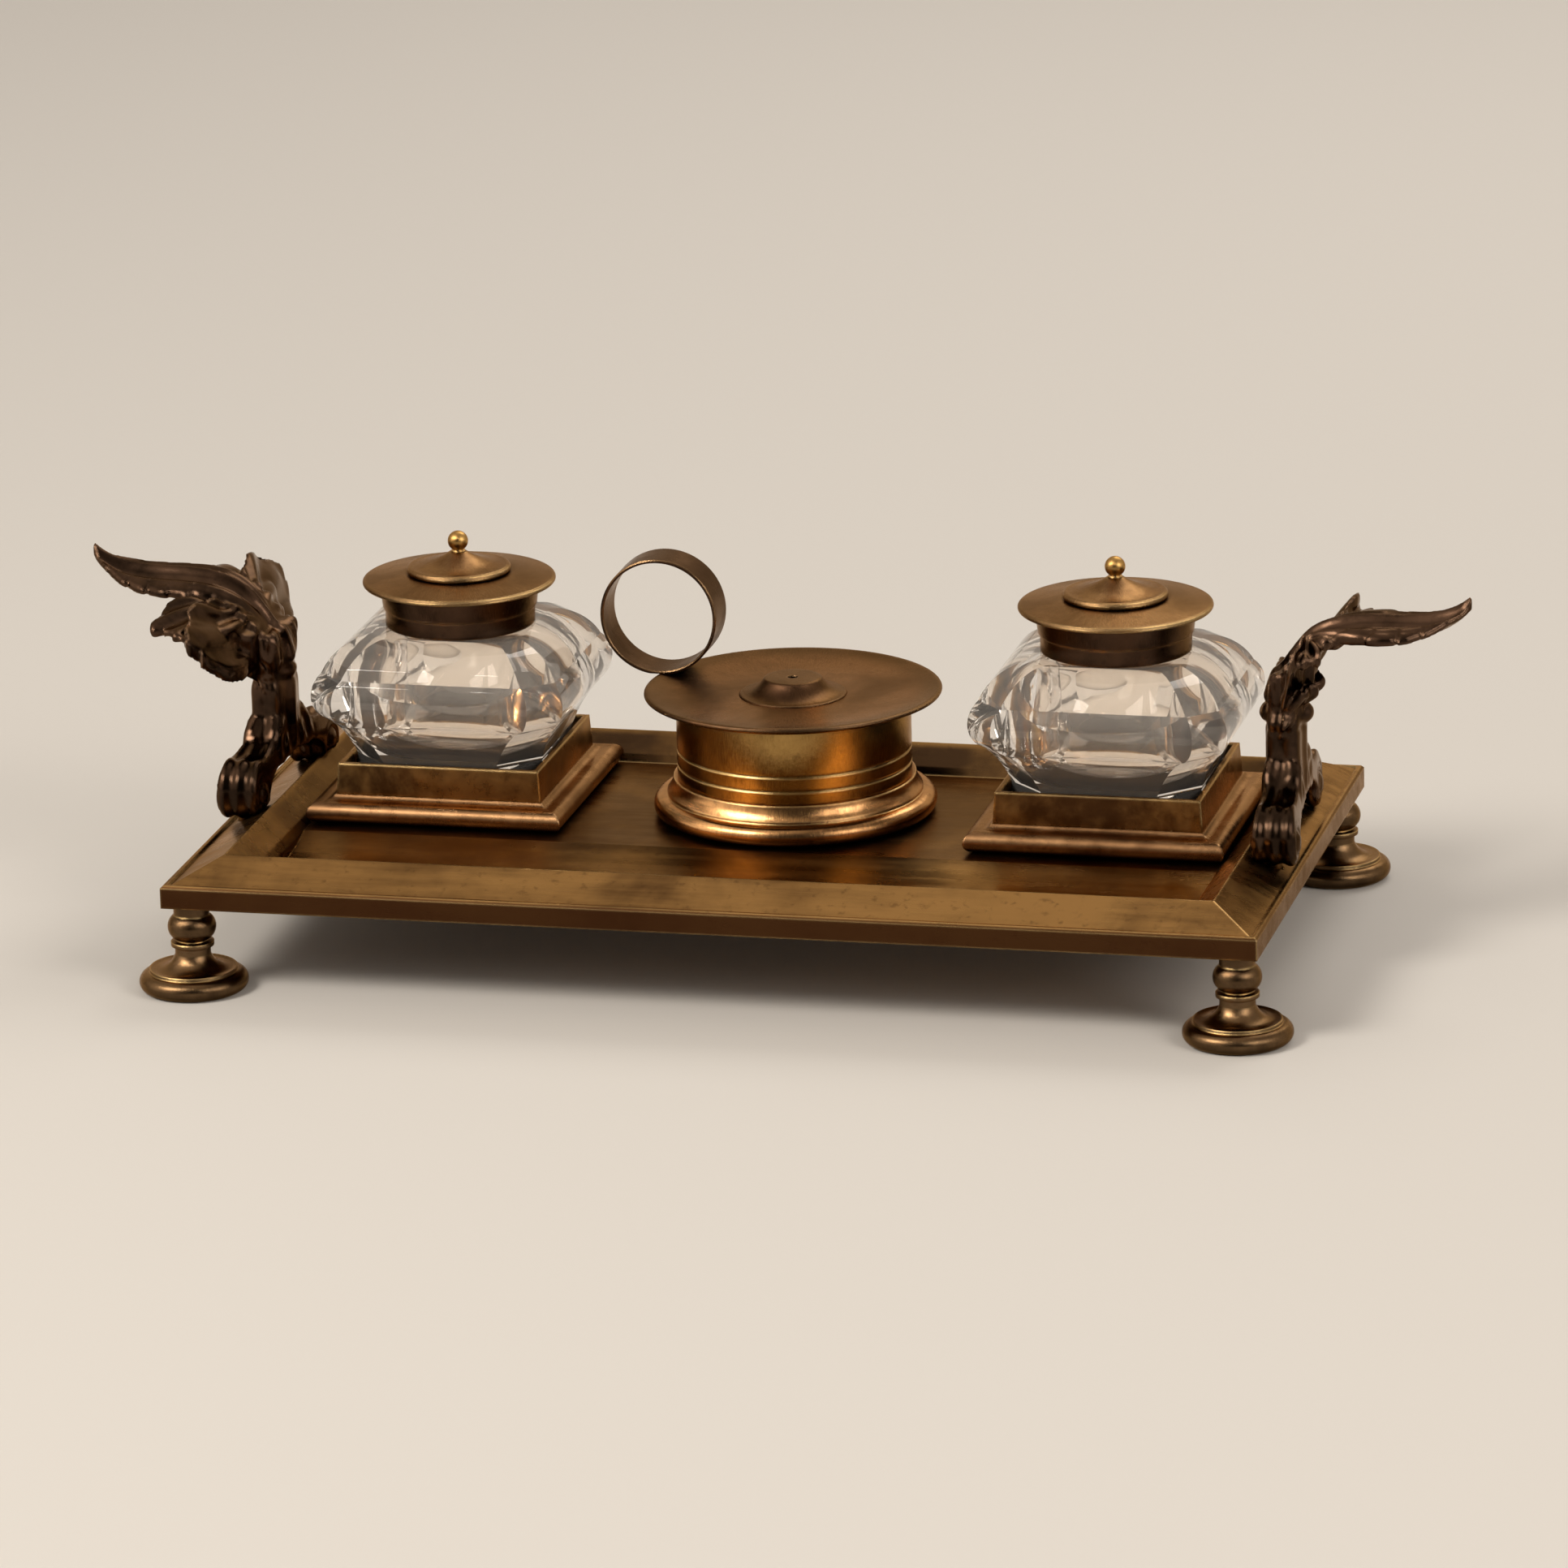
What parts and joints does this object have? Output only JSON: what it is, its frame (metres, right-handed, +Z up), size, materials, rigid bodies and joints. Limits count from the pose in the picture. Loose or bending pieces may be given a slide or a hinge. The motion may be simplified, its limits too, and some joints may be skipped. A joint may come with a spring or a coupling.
{
  "type": "desk inkstand",
  "caption": "Brass desk inkstand: a footed pen tray with square glass inkwells, a covered pot with a finger ring, and cast acanthus end brackets.",
  "frame": {"origin": "on the surface that the feet stand on, under the middle of the tray", "axes": "+Z up, +X along the tray to the right, +Y to the back; the pen trough is at the front"},
  "size_m": [0.3344, 0.1542, 0.0903],
  "materials": {
    "tray": "aged, olive-brown",
    "foot": "dark patinated, polished",
    "plinth": "dark reddish-brown patina",
    "gallery": "aged, worn light on the edges",
    "inkwell_glass": "clear, polished",
    "collar": "dark patinated",
    "lid_disc": "aged, golden on the rim",
    "lid_skirt": "aged",
    "lid_boss": "aged",
    "finial": "bright",
    "hardware": "dull",
    "pot_base": "worn bright on the rim",
    "pot_body": "golden, streaked",
    "cover_pan": "brown patina",
    "cover_skirt": "aged",
    "cover_bell": "brown patina",
    "finger_ring": "brown patina, light edges",
    "bracket": "dark bronze patina, glossy"
  },
  "bodies": {
    "stand": {"tray": "tray", "foot_front_left": "foot", "foot_front_right": "foot", "foot_back_left": "foot", "foot_back_right": "foot", "plinth_left": "plinth", "gallery_left": "gallery", "bracket_left": "bracket", "plinth_right": "plinth", "gallery_right": "gallery", "bracket_right": "bracket", "inkwell_bolts": "hardware", "inkwell_nuts": "hardware", "pot_bolt": "hardware", "pot_nut": "hardware", "bracket_screws": "hardware", "pot_base": "pot_base", "pot_body": "pot_body"},
    "pot_cover": {"cover_pan": "cover_pan", "cover_skirt": "cover_skirt", "cover_bell": "cover_bell", "finger_ring": "finger_ring"},
    "inkwell_left": {"inkwell_glass_left": "inkwell_glass", "collar_left": "collar"},
    "lid_left": {"lid_disc_left": "lid_disc", "lid_skirt_left": "lid_skirt", "lid_boss_left": "lid_boss", "finial_left": "finial", "finial_nut_left": "hardware"},
    "inkwell_right": {"inkwell_glass_right": "inkwell_glass", "collar_right": "collar"},
    "lid_right": {"lid_disc_right": "lid_disc", "lid_skirt_right": "lid_skirt", "lid_boss_right": "lid_boss", "finial_right": "finial", "finial_nut_right": "hardware"}
  },
  "joints": [
    {"name": "inkwell_left_lift", "type": "slide", "parent": "stand", "child": "inkwell_left", "axis": [0, 0, 1], "range_m": [0, 0.05]},
    {"name": "lid_left_lift", "type": "slide", "parent": "inkwell_left", "child": "lid_left", "axis": [0, 0, 1], "range_m": [0, 0.03]},
    {"name": "inkwell_right_lift", "type": "slide", "parent": "stand", "child": "inkwell_right", "axis": [0, 0, 1], "range_m": [0, 0.05]},
    {"name": "lid_right_lift", "type": "slide", "parent": "inkwell_right", "child": "lid_right", "axis": [0, 0, 1], "range_m": [0, 0.03]},
    {"name": "pot_cover_lift", "type": "slide", "parent": "stand", "child": "pot_cover", "axis": [0, 0, 1], "range_m": [0, 0.04]}
  ]
}
